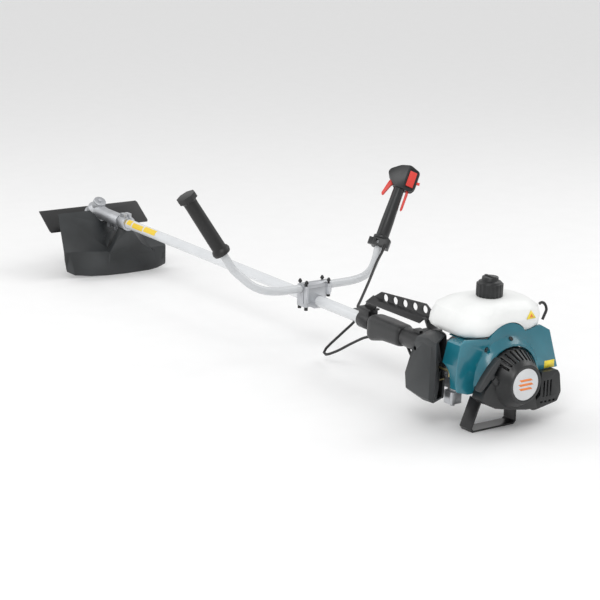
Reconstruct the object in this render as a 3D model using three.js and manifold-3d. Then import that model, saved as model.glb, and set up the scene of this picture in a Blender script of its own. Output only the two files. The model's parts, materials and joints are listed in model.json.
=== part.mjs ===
// Petrol brush cutter: a two-stroke engine with a recoil starter and a tank on top, a straight tube with
// a drive shaft inside it, a bevel gear head with a two-tooth blade and its guard, and a bicycle handlebar.
// Millimetres. X points forward to the blade, Y to the operator's left, Z up. The origin is on the floor,
// under the crank axis, at mid width of the engine stand's foot.
import * as THREE from "three";
import { mergeVertices } from "three/addons/utils/BufferGeometryUtils.js";
import Module from "manifold-3d";

const wasm = await Module();
wasm.setup();

// ---- Driving dimensions ---------------------------------------------------------------------------

const GAP = 0.3; // left between any two pieces that touch
const RUNNING_GAP = 0.5; // left around what turns or slides

// The whole machine leans back on its stand: the shaft rises towards the head.
const TILT = THREE.MathUtils.degToRad(1.63);
const CRANK_HEIGHT = 110.7; // crank axis above the sole of the stand
const STAND_X = 87.5;
const STAND_WIDTH = 35;

const TUBE_RADIUS = 13;
const TUBE_WALL = 1.5;
const TUBE_START = 228;
const TUBE_END = 1728;
const SHAFT_RADIUS = 4;

// Gear head: the output axis leans back from the upright, and the blade turns square to it.
const HEAD_ANGLE = THREE.MathUtils.degToRad(33.57);
const HEAD_X = 1794.4;
const HEAD_Z = -19.6;
const PINION_TEETH = 14;
const DRIVEN_TEETH = 19;
const GEAR_MODULE = 1.35;
const AXES_CROSS_HEIGHT = 23.6; // where shaft and output axes cross, above the blade

const BLADE_LENGTH = 305;
const BLADE_WIDTH = 83;
const BLADE_THICKNESS = 1.8;
const BLADE_BORE = 12.7;

const BAR_RADIUS = 9.5;
const BAR_X = 722;
const BAR_Z = 33;
const GRIP_START = new THREE.Vector3(768.2, 216.7, 110); // a point on the left grip's axis
const GRIP_SLOPE = new THREE.Vector3(0.2178, 0.5964, 1).normalize();
const CABLE_RADIUS = 3.2;

const PULLEY_GROOVE = 27.5;
const ROPE_RADIUS = 1.75;
const ROPE_X = 28;
const ROPE_OFFSET = PULLEY_GROOVE + ROPE_RADIUS + 0.25; // rope's distance from the crank axis
const PULL_ANGLE = THREE.MathUtils.degToRad(40); // of the rope above the left side

const ROUND = 24; // sides of a large round part
const SMALL_ROUND = 14;

// ---- Materials ------------------------------------------------------------------------------------

const paint = (color, roughness, metalness = 0) =>
  new THREE.MeshStandardMaterial({ color, roughness, metalness });
const WHITE_PAINT = () => paint(0xf2f3f3, 0.25);
const BLACK_PAINT = () => paint(0x17191b, 0.4, 0.2);
const TEAL_PLASTIC = () => paint(0x146878, 0.25);
const BLACK_PLASTIC = () => paint(0x1b1d1f, 0.45);
const GREY_PLASTIC = () => paint(0x3d4447, 0.55);
const RED_PLASTIC = () => paint(0xd8322b, 0.4);
const TANK_PLASTIC = () => paint(0xf4f5f4, 0.35);
const CAST_ALUMINIUM = () => paint(0xa9adb1, 0.4, 0.9);
const STEEL = () => paint(0x8d9194, 0.35, 1);
const ZINC = () => paint(0xc9b77a, 0.35, 0.9);
const FOAM = () => paint(0x2a2a2a, 0.95);
const LEATHERETTE = () => paint(0x202325, 0.6);
const RUBBER = () => paint(0x151617, 0.7);

// ---- Shape helpers --------------------------------------------------------------------------------

const X = new THREE.Vector3(1, 0, 0);
const Y = new THREE.Vector3(0, 1, 0);
const Z = new THREE.Vector3(0, 0, 1);

// Where the two directions of an outline and its depth go, for a prism along each axis.
const ALONG = {
  x: new THREE.Matrix4().makeBasis(Y, Z, X),
  y: new THREE.Matrix4().makeBasis(Z, X, Y),
  z: new THREE.Matrix4(),
};

function solid(geometry) {
  const bare = geometry.index ? geometry.toNonIndexed() : geometry.clone();
  bare.deleteAttribute("normal");
  bare.deleteAttribute("uv");
  const merged = mergeVertices(bare, 1e-3);
  const mesh = new wasm.Mesh({
    numProp: 3,
    vertProperties: merged.attributes.position.array,
    triVerts: new Uint32Array(merged.index.array),
  });
  return new wasm.Manifold(mesh);
}

function geometryOf(manifold) {
  const mesh = manifold.getMesh();
  const geometry = new THREE.BufferGeometry();
  geometry.setAttribute("position", new THREE.BufferAttribute(mesh.vertProperties, 3));
  geometry.setIndex(new THREE.BufferAttribute(mesh.triVerts, 1));
  return geometry;
}

function join(...geometries) {
  return geometryOf(geometries.map(solid).reduce((sum, next) => sum.add(next)));
}

function cut(geometry, ...tools) {
  return geometryOf(tools.map(solid).reduce((left, tool) => left.subtract(tool), solid(geometry)));
}

// A geometry given in the machine's frame, moved into a group's own frame.
function seenFrom(group, geometry) {
  group.updateMatrix();
  return geometry.applyMatrix4(group.matrix.clone().invert());
}

function moved(geometry, x, y, z) {
  return geometry.clone().translate(x, y, z);
}

function box(x0, x1, y0, y1, z0, z1) {
  const geometry = new THREE.BoxGeometry(x1 - x0, y1 - y0, z1 - z0);
  return geometry.translate((x0 + x1) / 2, (y0 + y1) / 2, (z0 + z1) / 2);
}

// A body of revolution about the Z axis, from a closed list of [height, radius].
function turnedZ(profile, sides = ROUND) {
  const points = profile.map(([height, radius]) => new THREE.Vector2(radius, height));
  if (profile[0][1] > 0) points.push(points[0].clone());
  const signedArea = THREE.ShapeUtils.area(points);
  if (signedArea < 0) points.reverse();
  return new THREE.LatheGeometry(points, sides).rotateX(Math.PI / 2);
}

function turnedX(profile, sides = ROUND) {
  return turnedZ(profile, sides).applyMatrix4(ALONG.x);
}

function turnedY(profile, sides = ROUND) {
  return turnedZ(profile, sides).applyMatrix4(ALONG.y);
}

const discProfile = (from, to, radius) => [[from, 0], [from, radius], [to, radius], [to, 0]];
const ringProfile = (from, to, outer, inner) => [[from, inner], [from, outer], [to, outer], [to, inner]];

// A straight round bar between two points.
function rod(from, to, radius, sides = SMALL_ROUND) {
  const start = new THREE.Vector3(...from);
  const along = new THREE.Vector3(...to).sub(start);
  const turn = new THREE.Quaternion().setFromUnitVectors(Z, along.clone().normalize());
  const geometry = turnedZ(discProfile(0, along.length(), radius), sides);
  return geometry.applyQuaternion(turn).translate(start.x, start.y, start.z);
}

// An outline with its corners rounded off.
function roundedShape(points, radius) {
  const corners = points.map(([a, b]) => new THREE.Vector2(a, b));
  const shape = new THREE.Shape();
  corners.forEach((corner, i) => {
    const before = corners[(i + corners.length - 1) % corners.length].clone().sub(corner);
    const after = corners[(i + 1) % corners.length].clone().sub(corner);
    const reach = Math.min(radius, before.length() * 0.45, after.length() * 0.45);
    const start = corner.clone().add(before.setLength(reach));
    const end = corner.clone().add(after.setLength(reach));
    if (i === 0) shape.moveTo(start.x, start.y);
    else shape.lineTo(start.x, start.y);
    shape.quadraticCurveTo(corner.x, corner.y, end.x, end.y);
  });
  shape.closePath();
  return shape;
}

function prism(axis, outline, from, to, radius = 0) {
  const points = outline.map(([a, b]) => new THREE.Vector2(a, b));
  const shape = radius > 0 ? roundedShape(outline, radius) : new THREE.Shape(points);
  const options = { depth: to - from, bevelEnabled: false, curveSegments: 3 };
  return new THREE.ExtrudeGeometry(shape, options).translate(0, 0, from).applyMatrix4(ALONG[axis]);
}

// A skin through closed outlines that lie square to one axis, closed at both ends.
function loft(axis, sections) {
  const vectors = (outline) => outline.map(([a, b]) => new THREE.Vector2(a, b));
  const clockwise = THREE.ShapeUtils.isClockWise(vectors(sections[0].outline));
  const outlines = sections.map(({ outline }) => (clockwise ? [...outline].reverse() : outline));
  const count = outlines[0].length;
  const positions = outlines.flatMap((outline, i) => outline.flatMap(([a, b]) => [a, b, sections[i].at]));
  const index = [];
  for (let ring = 0; ring + 1 < sections.length; ring += 1) {
    for (let i = 0; i < count; i += 1) {
      const here = ring * count + i;
      const next = ring * count + ((i + 1) % count);
      index.push(here, next, next + count, here, next + count, here + count);
    }
  }
  const last = (sections.length - 1) * count;
  for (const [a, b, c] of THREE.ShapeUtils.triangulateShape(vectors(outlines[0]), [])) {
    index.push(c, b, a);
  }
  for (const [a, b, c] of THREE.ShapeUtils.triangulateShape(vectors(outlines.at(-1)), [])) {
    index.push(last + a, last + b, last + c);
  }
  const geometry = new THREE.BufferGeometry();
  geometry.setAttribute("position", new THREE.Float32BufferAttribute(positions, 3));
  geometry.setIndex(index);
  return geometry.applyMatrix4(ALONG[axis]);
}

// A rounded rectangle as a plain list of points, the same number for every size.
function roundedRectangle(a0, a1, b0, b1, radius, stepsPerCorner = 4) {
  const corners = [
    [a1 - radius, b0 + radius, -0.5],
    [a1 - radius, b1 - radius, 0],
    [a0 + radius, b1 - radius, 0.5],
    [a0 + radius, b0 + radius, 1],
  ];
  return corners.flatMap(([a, b, quarter]) =>
    Array.from({ length: stepsPerCorner + 1 }, (_, i) => {
      const angle = Math.PI * (quarter + (0.5 * i) / stepsPerCorner);
      return [a + radius * Math.cos(angle), b + radius * Math.sin(angle)];
    }),
  );
}

function arcPoints(centreA, centreB, radius, fromDegrees, toDegrees, steps) {
  return Array.from({ length: steps + 1 }, (_, i) => {
    const degrees = fromDegrees + ((toDegrees - fromDegrees) * i) / steps;
    const angle = THREE.MathUtils.degToRad(degrees);
    return [centreA + radius * Math.cos(angle), centreB + radius * Math.sin(angle)];
  });
}

// A bent strip of constant thickness, as an outline, from its outer line.
function stripOutline(points, thickness) {
  const outer = points.map(([a, b]) => new THREE.Vector2(a, b));
  const inner = outer.map((point, i) => {
    const before = outer[Math.max(i - 1, 0)];
    const after = outer[Math.min(i + 1, outer.length - 1)];
    const normals = [point.clone().sub(before), after.clone().sub(point)]
      .filter((edge) => edge.length() > 0)
      .map((edge) => new THREE.Vector2(-edge.y, edge.x).normalize());
    const middle = normals.reduce((sum, normal) => sum.clone().add(normal)).normalize();
    return point.clone().addScaledVector(middle, thickness / middle.dot(normals[0]));
  });
  return [...outer, ...inner.reverse()].map((point) => [point.x, point.y]);
}

// A round bar or tube along a smooth curve through the points.
function sweep(points, radius, sides, steps, bore = 0) {
  const curve = new THREE.CatmullRomCurve3(
    points.map((point) => new THREE.Vector3(...point)),
    false,
    "centripetal",
  );
  const shape = new THREE.Shape().setFromPoints(circleOutline(radius, sides));
  if (bore > 0) shape.holes.push(new THREE.Path().setFromPoints(circleOutline(bore, 8).reverse()));
  return new THREE.ExtrudeGeometry(shape, { steps, extrudePath: curve, curveSegments: 1 });
}

function circleOutline(radius, sides) {
  return Array.from({ length: sides }, (_, i) => {
    const angle = (2 * Math.PI * i) / sides;
    return new THREE.Vector2(radius * Math.cos(angle), radius * Math.sin(angle));
  });
}

// ---- Scene graph ----------------------------------------------------------------------------------

const brushCutter = new THREE.Group();
const machine = new THREE.Group(); // its X axis is the crank and shaft axis
machine.rotation.y = -TILT;
machine.position.set(
  -(STAND_X * Math.cos(TILT) + CRANK_HEIGHT * Math.sin(TILT)),
  0,
  -(STAND_X * Math.sin(TILT) - CRANK_HEIGHT * Math.cos(TILT)),
);
brushCutter.add(machine);

const head = new THREE.Group(); // its Z axis is the output axis, its XY plane the blade's underside
head.position.set(HEAD_X, 0, HEAD_Z);
head.rotation.y = -HEAD_ANGLE;
machine.add(head);

const standGroup = new THREE.Group(); // upright again, with its origin on the sole
standGroup.position.set(STAND_X, 0, -CRANK_HEIGHT);
standGroup.rotation.y = TILT;
machine.add(standGroup);

const controls = new THREE.Group(); // Z up the right grip's axis, X towards the trigger
controls.position.set(GRIP_START.x, -GRIP_START.y, GRIP_START.z);
const rightSlope = new THREE.Vector3(GRIP_SLOPE.x, -GRIP_SLOPE.y, GRIP_SLOPE.z);
controls.quaternion.setFromUnitVectors(Z, rightSlope);
controls.rotateZ(Math.PI / 4);
machine.add(controls);

const leftGripGroup = new THREE.Group();
leftGripGroup.position.copy(GRIP_START);
leftGripGroup.quaternion.setFromUnitVectors(Z, GRIP_SLOPE);
machine.add(leftGripGroup);

const pull = new THREE.Group(); // Y along the starter rope, X across it, Z towards the blade
pull.matrix.makeBasis(
  new THREE.Vector3(0, Math.sin(PULL_ANGLE), -Math.cos(PULL_ANGLE)),
  new THREE.Vector3(0, Math.cos(PULL_ANGLE), Math.sin(PULL_ANGLE)),
  X,
);
pull.matrix.setPosition(0, 0, 0);
pull.matrix.decompose(pull.position, pull.quaternion, pull.scale);
machine.add(pull);

function add(group, name, geometry, material) {
  const mesh = new THREE.Mesh(geometry, material);
  mesh.name = name;
  group.add(mesh);
}

// ---- Shaft ----------------------------------------------------------------------------------------

function addShaft() {
  const bore = TUBE_RADIUS - TUBE_WALL;
  const tube = turnedX(ringProfile(TUBE_START, TUBE_END, TUBE_RADIUS, bore));
  add(machine, "main_tube", tube, WHITE_PAINT());
  const driveShaft = turnedX(discProfile(213, 1734.5, SHAFT_RADIUS), 12);
  add(machine, "drive_shaft", driveShaft, STEEL());
  const bushes = [["rear", 560], ["front", 1250]];
  for (const [place, x] of bushes) {
    const bush = turnedX(ringProfile(x, x + 45, bore - GAP, SHAFT_RADIUS + RUNNING_GAP), 16);
    add(machine, `shaft_bush_${place}`, bush, RUBBER());
  }
}

// ---- Gear head, blade and guard -------------------------------------------------------------------

// A bevel gear whose tips lie just inside its pitch cone; heights are measured from the cones' apex.
function bevelGear(teeth, otherTeeth, shaftAngle, faceShare) {
  const coneAngle = Math.atan(Math.sin(shaftAngle) / (otherTeeth / teeth + Math.cos(shaftAngle)));
  const radius = (GEAR_MODULE * teeth) / 2 - GAP;
  const height = (GEAR_MODULE * teeth) / 2 / Math.tan(coneAngle);
  const outline = (scale) =>
    Array.from({ length: teeth * 4 }, (_, i) => {
      const angle = (2 * Math.PI * (i + 0.5 * (i % 2))) / (teeth * 4);
      const r = (i % 4 < 2 ? radius : radius - 1.6 * GEAR_MODULE) * scale;
      return [r * Math.cos(angle), r * Math.sin(angle)];
    });
  return loft("z", [
    { at: height * faceShare, outline: outline(faceShare) },
    { at: height, outline: outline(1) },
  ]);
}

function addGears() {
  const shaftAngle = Math.PI / 2 - HEAD_ANGLE;
  const pinionGear = bevelGear(PINION_TEETH, DRIVEN_TEETH, shaftAngle, 0.66);
  // The pinion points back along the shaft from the apex.
  const apexX = HEAD_X - AXES_CROSS_HEIGHT * Math.sin(HEAD_ANGLE);
  pinionGear.rotateY(-Math.PI / 2).translate(apexX, 0, 0);
  const hub = turnedX(discProfile(1735, apexX - 20, 6));
  add(machine, "pinion", join(pinionGear, hub), STEEL());
  const drivenGear = bevelGear(DRIVEN_TEETH, PINION_TEETH, shaftAngle, 0.66);
  drivenGear.translate(0, 0, AXES_CROSS_HEIGHT);
  const bore = turnedZ(discProfile(0, 80, 6 + GAP), 16);
  add(head, "driven_gear", cut(drivenGear, bore), STEEL());
  const outputShaft = join(
    turnedZ(discProfile(-25, 54, 6), 16),
    turnedZ(discProfile(9.2, 12, 8), 16),
  );
  add(head, "output_shaft", outputShaft, STEEL());
}

// The neck of the gear case and the clamp ears under it lie on the shaft axis.
function addGearCase() {
  head.updateMatrix();
  const bodyProfile = [
    [9.2, 0], [9.2, 31], [14, 31], [17, 26], [34, 26], [42, 18.5], [58, 17.5], [58, 0],
  ];
  const body = turnedZ(bodyProfile).applyMatrix4(head.matrix);
  const gearRoom = turnedZ([[12.5, 0], [12.5, 16], [59, 16], [59, 0]]).applyMatrix4(head.matrix);
  const lowerBearing = turnedZ(discProfile(8, 13, 8.4)).applyMatrix4(head.matrix);
  const neckProfile = [[1640, 0], [1640, 17.5], [1728, 17.5], [1760, 21], [1778, 20], [1778, 0]];
  const neck = turnedX(neckProfile);
  const ears = join(box(1645, 1667, -9, 9, -31, -12), box(1690, 1704, -9, 9, -27, -12));
  const tubeRoom = turnedX(discProfile(1630, 1729, TUBE_RADIUS + GAP));
  const pinionRoom = turnedX(discProfile(1728, 1776, 11.5));
  const split = box(1630, 1712, -1, 1, -40, -11);
  const boltHole = rod([1656, -20, -22], [1656, 20, -22], 3.2);
  const gearCase = cut(
    join(body, neck, ears), gearRoom, lowerBearing, tubeRoom, pinionRoom, split, boltHole,
  );
  add(machine, "gear_case", gearCase, CAST_ALUMINIUM());
  const cap = join(
    turnedZ([[55, 0], [55, 15.6], [58.3, 15.6], [58.3, 17], [61, 17], [62.5, 15], [62.5, 0]]),
    prism("z", circleOutline(6, 6).map((p) => [p.x, p.y]), 62, 66),
  );
  add(head, "gear_case_cap", cap, CAST_ALUMINIUM());
}

function addBlade() {
  const half = BLADE_LENGTH / 2;
  const wide = BLADE_WIDTH / 2;
  const outline = [
    [-wide + 6, -half], [wide - 6, -half], [wide, -half + 3], [wide, half],
    [-wide + 6, half], [-wide, half - 3], [-wide, -half + 3],
  ];
  const plate = prism("z", outline, 0, BLADE_THICKNESS);
  const arbor = turnedZ(discProfile(-1, 4, BLADE_BORE));
  add(head, "blade", cut(plate, arbor), BLACK_PAINT());
  const holderProfile = [
    [BLADE_THICKNESS + GAP, BLADE_BORE - GAP], [BLADE_THICKNESS + GAP, 27], [5, 27], [8.6, 20],
    [8.6, 6 + GAP], [0.2, 6 + GAP], [0.2, BLADE_BORE - GAP],
  ];
  add(head, "blade_holder", turnedZ(holderProfile), STEEL());
  const cupProfile = [
    [-GAP, 6 + GAP], [-GAP, 27], [-3, 33], [-12, 30], [-12, 27], [-4, 24], [-4, 6 + GAP],
  ];
  add(head, "blade_cup", turnedZ(cupProfile), STEEL());
  const hexagon = circleOutline(11, 6).map((p) => [p.x, p.y]);
  const nut = cut(prism("z", hexagon, -14, -4.3), turnedZ(discProfile(-20, 0, 6 + GAP), 16));
  add(head, "blade_nut", nut, ZINC());
}

// Stations across the guard: the side position, then how far behind the output axis its top folds down
// and its rim ends.
const GUARD_STATIONS = [
  [-170, 156, 160], [-158, 156, 169], [-130, 156, 179], [-100, 156, 184], [-30, 156, 185],
  [28, 153, 183], [77, 145, 178], [122, 139, 168], [141, 137, 150], [158, 136, 140],
];
const GUARD_WALL = 3;
const GUARD_RIM = -40;
const GUARD_FOLD = 22;

function addGuard() {
  const station = ([y, fold, rim]) => ({
    at: y,
    outline: [
      [41, -12], [GUARD_FOLD, -fold], [GUARD_RIM, -rim], [GUARD_RIM, -rim + GUARD_WALL],
      [GUARD_FOLD - GUARD_WALL, -fold + GUARD_WALL], [41 - GUARD_WALL, -12],
    ],
  });
  const shell = loft("y", GUARD_STATIONS.map(station));
  const ridge = loft("z", [
    { at: 12, outline: [[-165, -112], [-108, -112], [-108, 31], [-156, 31]] },
    { at: 48, outline: [[-158, -60], [-112, -60], [-112, 25], [-156, 25]] },
    { at: 104, outline: [[-150, -14], [-124, -14], [-124, 14], [-150, 14]] },
  ]);
  const besideLeft = [[5, 210], [5, 128], [-12, 128], [-133, 157], [-170, 128], [-210, 128], [-210, 210]];
  const besideRight = [
    [20, -190], [20, -17], [-12, -17], [-71, -14], [-139, 30], [-146, 26], [-116, 0], [-74, -30],
    [-76, -78], [-108, -112], [-118, -190],
  ];
  const leftEnd = [[158, GUARD_FOLD], [139, GUARD_RIM - 1], [139, -80], [210, -80], [210, GUARD_FOLD]];
  const rightEnd = [[-146, 60], [-146, 22], [-160, GUARD_RIM - 1], [-160, -80], [-220, -80], [-220, 60]];
  const gapFloor = prism("z", [[-62, -22], [-140, 38], [-150, 30], [-122, -6], [-74, -36]], 15, 22);
  const opened = cut(
    join(shell, ridge),
    prism("z", besideLeft, -60, 120),
    prism("z", besideRight, -60, 140),
    prism("x", leftEnd, -220, 20),
    prism("x", rightEnd, -220, 20),
    turnedZ(discProfile(-60, 80, 33)),
    seenFrom(head, rod([1540, 0, 0], [1800, 0, 0], 21.5, ROUND)),
    seenFrom(head, box(1636, 1712, -12, 12, -34, 0)),
  );
  add(head, "guard", join(opened, gapFloor), GREY_PLASTIC());
}

function addGuardBracket() {
  const clamp = turnedX(ringProfile(1598, 1632, 19.2, TUBE_RADIUS + GAP), 20);
  const lug = box(1604, 1626, -11, 11, 14, 26);
  const bore = rod([1590, 0, 0], [1640, 0, 0], TUBE_RADIUS + GAP, 20);
  const clampSplit = box(1590, 1640, -1, 1, 12, 30);
  add(machine, "guard_bracket", cut(join(clamp, lug), bore, clampSplit), CAST_ALUMINIUM());
}

// ---- Handlebar, grips and clamp -------------------------------------------------------------------

const BAR_BEND = [
  [BAR_X, 0, BAR_Z], [BAR_X, 60, BAR_Z], [BAR_X, 105, 34], [727, 140, 39], [736, 166, 50],
  [748, 186, 68],
];

function gripPoint(distance, side) {
  const point = GRIP_START.clone().addScaledVector(GRIP_SLOPE, distance);
  return [point.x, side * point.y, point.z];
}

function handlebar(radius, bore) {
  const half = (side) => [
    ...BAR_BEND.slice(1).map(([x, y, z]) => [x, side * y, z]),
    gripPoint(-26, side), gripPoint(-8, side), gripPoint(16, side), gripPoint(108, side),
  ];
  const points = [...half(1).reverse(), BAR_BEND[0], ...half(-1)];
  return sweep(points, radius, 12, 48, bore);
}

function addHandlebar() {
  add(machine, "handlebar", handlebar(BAR_RADIUS, 7.5), WHITE_PAINT());
}

const CLAMP_HALF = 12; // of the clamp's length along the tube
const CLAMP_LEFT = 46;
const CLAMP_RIGHT = -33;
const CLAMP_BOLTS = [
  // side position, lower end
  { y: 38, z: -17 },
  { y: -23.5, z: 9 },
];

function addHandlebarClamp() {
  const tubeRoom = turnedX(discProfile(690, 760, TUBE_RADIUS + GAP));
  const barRoom = rod([BAR_X, -80, BAR_Z], [BAR_X, 80, BAR_Z], BAR_RADIUS + GAP, 20);
  const corners = CLAMP_BOLTS.flatMap(({ y, z }) => [-1, 1].map((side) => ({ x: BAR_X + side * 13, y, z })));
  const boltRoom = corners.map(({ x, y }) => rod([x, y, -60], [x, y, 80], 2.9, 10));
  const bosses = (places, from, to) => places.map(({ x, y }) => rod([x, y, from], [x, y, to], 6, 10));
  const span = [BAR_X - CLAMP_HALF, BAR_X + CLAMP_HALF];
  const leftCorners = corners.filter(({ y }) => y > 0);
  const lowOutline = [
    [CLAMP_LEFT - 2, -GAP], [CLAMP_LEFT - 2, -9], [24, -10], [14, -16], [-8, -17], [-16, -12],
    [-18.6, -4], [-18.6, -GAP],
  ];
  const lower = join(prism("x", lowOutline, ...span), ...bosses(leftCorners, -9, -GAP));
  add(machine, "clamp_lower", cut(lower, tubeRoom, ...boltRoom), CAST_ALUMINIUM());
  const top = BAR_Z - GAP;
  const middleOutline = [
    [CLAMP_RIGHT, top], [CLAMP_RIGHT, 18], [-18.6, 15], [-18.6, 0], [CLAMP_LEFT, 0], [CLAMP_LEFT, top],
  ];
  const middle = join(
    prism("x", middleOutline, ...span),
    ...bosses(leftCorners, 0, top),
    ...bosses(corners.filter(({ y }) => y < 0), 15, top),
  );
  add(machine, "clamp_middle", cut(middle, tubeRoom, barRoom, ...boltRoom), CAST_ALUMINIUM());
  const capOutline = [[0, -12], [0, 12], [8, 10], [12, 6], [12, -6], [8, -10]];
  const cap = prism("y", capOutline, CLAMP_RIGHT, CLAMP_LEFT).translate(BAR_X, 0, BAR_Z);
  const crownedCap = join(cap, ...bosses(corners, BAR_Z, BAR_Z + 7));
  add(machine, "clamp_cap", cut(crownedCap, barRoom, ...boltRoom), CAST_ALUMINIUM());
  corners.forEach(({ x, y, z }, i) => {
    const seat = z < 0 ? -9.7 : 14.6;
    const stem = turnedZ([
      [z, 0], [z, 4.4], [seat, 4.4], [seat, 2.5], [BAR_Z + 12.4, 2.5], [BAR_Z + 12.4, 4.6],
      [BAR_Z + 15, 4.6], [BAR_Z + 20, 2], [BAR_Z + 20, 0],
    ], 10);
    add(machine, `clamp_bolt_${i + 1}`, moved(stem, x, y, 0), BLACK_PAINT());
  });
}

function addLeftGrip() {
  const barRoom = turnedZ(discProfile(10, 110, BAR_RADIUS + GAP), 16);
  const body = turnedZ([
    [18, 0], [18, 19.5], [25, 21.5], [31, 19.5], [34, 16.6], [150, 15.8], [160, 16], [166, 21],
    [166, 0],
  ], 20);
  const cap = prism("z", circleOutline(25, 8).map((p) => [p.x * 1.02, p.y * 0.92]), 165, 178);
  add(leftGripGroup, "left_grip", cut(join(body, cap), barRoom), RUBBER());
}

// ---- Right grip with its controls -----------------------------------------------------------------

const HEAD_SIDE = [
  [36, 158], [33, 168], [11, 184], [-12, 190], [-36, 182], [-36, 138], [-29, 128], [13, 130],
  [29, 148],
];
const SWITCH_ANGLE = Math.atan2(12, 28); // of the switch's face, off the housing's side

// Puts a geometry made around the switch's middle onto the slanting face of the housing.
function onSwitchFace(geometry) {
  return geometry.rotateZ(SWITCH_ANGLE).translate(-22, 11, 158);
}

function addControlGrip() {
  const grip = turnedZ([
    [-2, 0], [-2, 20], [4, 20], [7, 15.5], [45, 15.3], [100, 13.6], [132, 13.4], [132, 0],
  ]);
  const collarOutline = [[-24, -15], [18, -15], [18, 15], [-24, 15]];
  const collar = prism("z", collarOutline, -22, 0, 8);
  const lug = box(12, 28, -5, 5, -20, -3);
  const housing = prism("y", HEAD_SIDE.map(([x, z]) => [z, x]), -17, 17, 5);
  const nearFacet = prism("z", [[-8, 17], [-42, 2.4], [-42, 22], [-8, 22]], 110, 200);
  const farFacet = prism("z", [[-8, -17], [-8, -22], [-42, -22], [-42, -2.4]], 110, 200);
  const shape = cut(join(grip, collar, lug, housing), nearFacet, farFacet);
  const barRoom = seenFrom(controls, handlebar(BAR_RADIUS + GAP, 0));
  const barEndRoom = turnedZ(discProfile(60, 109, BAR_RADIUS + GAP), 16);
  const window = box(2, 10, -30, 30, -16, -6);
  const triggerRoom = box(12, 40, -4.6, 4.6, 120, 154);
  const lockoutRoom = box(-40, -12.6, -3.6, 3.6, 76, 137);
  const switchRoom = onSwitchFace(box(-9.6, 9.6, -2.2, 6, -24, 24));
  const buttonRoom = rod([-50, 0, 155], [-28, 0, 155], 4.2, 12);
  const cableRoom = seenFrom(controls, throttleCable(CABLE_RADIUS + GAP, 8, 84));
  const controlGrip = cut(
    shape, barRoom, barEndRoom, window, triggerRoom, lockoutRoom, switchRoom, buttonRoom, cableRoom,
  );
  add(controls, "control_grip", controlGrip, BLACK_PLASTIC());
}

function addControls() {
  const triggerSide = [
    [14, 150], [24, 150], [29, 141], [37, 108], [35, 104], [31, 104], [21, 130], [14, 141],
  ];
  const trigger = prism("y", triggerSide.map(([x, z]) => [z, x]), -4, 4);
  add(controls, "throttle_trigger", trigger, RED_PLASTIC());
  const lockoutSide = [[-15, 135], [-22, 135], [-24.5, 122], [-24, 82], [-21, 78], [-18.5, 80], [-18, 124]];
  const lockout = prism("y", lockoutSide.map(([x, z]) => [z, x]), -3, 3);
  add(controls, "lockout_lever", lockout, RED_PLASTIC());
  const stopSwitch = onSwitchFace(box(-9, 9, -1.6, 1.6, -19, 19));
  add(controls, "stop_switch", stopSwitch, RED_PLASTIC());
  const button = rod([-43, 0, 155], [-33, 0, 155], 3.6, 12);
  add(controls, "half_throttle_button", button, RED_PLASTIC());
}

// The throttle cable's route, from the right grip to the carburettor, with the slack loop it makes
// under the tube and the stretch that runs inside the hip pad.
const CABLE_ROUTE = [
  [747, -211, 100], [744, -204.5, 89], [735, -190, 80], [717, -165, 68], [690, -134, 54],
  [660, -97, 35], [630, -58, 14], [606, -32, 6], [590, -25, 0], [596, -19, -20], [622, -6, -52],
  [656, 10, -92], [664, 16, -106], [655, 19, -110], [614, 17, -92], [563, 14, -61], [514, 12, -34],
  [492, 10, -27], [474, 4, -20], [430, 0, -17.6], [385, 0, -17.6], [366, 6, -26], [330, 26, -31],
  [290, 58, -38], [240, 82, -30], [205, 84, -12], [182, 76, 2], [162, 70, 6], [151, 70, 6],
];

function throttleCable(radius, sides, steps) {
  return sweep(CABLE_ROUTE, radius, sides, steps);
}

function addCableAndClip() {
  add(machine, "throttle_cable", throttleCable(CABLE_RADIUS, 8, 84), RUBBER());
  const clip = cut(
    box(544.4, 600, -34, -14, -7, 8),
    throttleCable(CABLE_RADIUS + GAP, 8, 84),
    turnedX(discProfile(560, 610, TUBE_RADIUS + GAP), 18),
  );
  add(machine, "cable_clip", clip, BLACK_PLASTIC());
}

// ---- Harness bracket and hip pad ------------------------------------------------------------------

const HANGER_HOLES = 5;
const HANGER_PITCH = 34.3;
const HANGER_FIRST = 324.6;

function addHanger() {
  const webOutline = [
    [304, 60], [304, 78], [322, 88], [478, 77], [522, 50], [538, 31], [500, 31], [490, 50],
    [470, 56], [330, 57],
  ];
  const web = prism("y", webOutline.map(([x, z]) => [z, x]), -1.5, 1.5);
  const holes = Array.from({ length: HANGER_HOLES }, (_, i) => {
    const x = HANGER_FIRST + i * HANGER_PITCH;
    const z = 75.2 - 0.0575 * (x - HANGER_FIRST);
    return rod([x, -6, z], [x, 6, z], 8.5, 16);
  });
  const flange = prism("x", [[-1.5, 60], [0, 62.5], [21, 50.5], [20, 48.5]], 318, 508);
  const rearFoot = join(
    prism("y", [[316, 62], [308, 62], [297, 41], [280, 41], [280, 37.5], [300, 37.5]]
      .map(([x, z]) => [z, x]), -12, 12),
    box(302, 320, -12, 12, 58, 62),
  );
  const frontFoot = box(500, 542, -13, 13, 28.3, 32);
  const bracket = cut(join(web, flange, rearFoot, frontFoot), ...holes);
  add(machine, "hanger_bracket", bracket, BLACK_PAINT());
  const collar = cut(
    join(
      turnedX(discProfile(504, 544, 19.5), 20),
      box(506, 542, -13, 13, 6, 28),
    ),
    turnedX(discProfile(490, 560, TUBE_RADIUS + GAP), 20),
    box(490, 560, -40, -12.4, -0.6, 0.6),
    throttleCable(CABLE_RADIUS + 1, 8, 84),
  );
  add(machine, "bracket_collar", collar, BLACK_PAINT());
}

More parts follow.
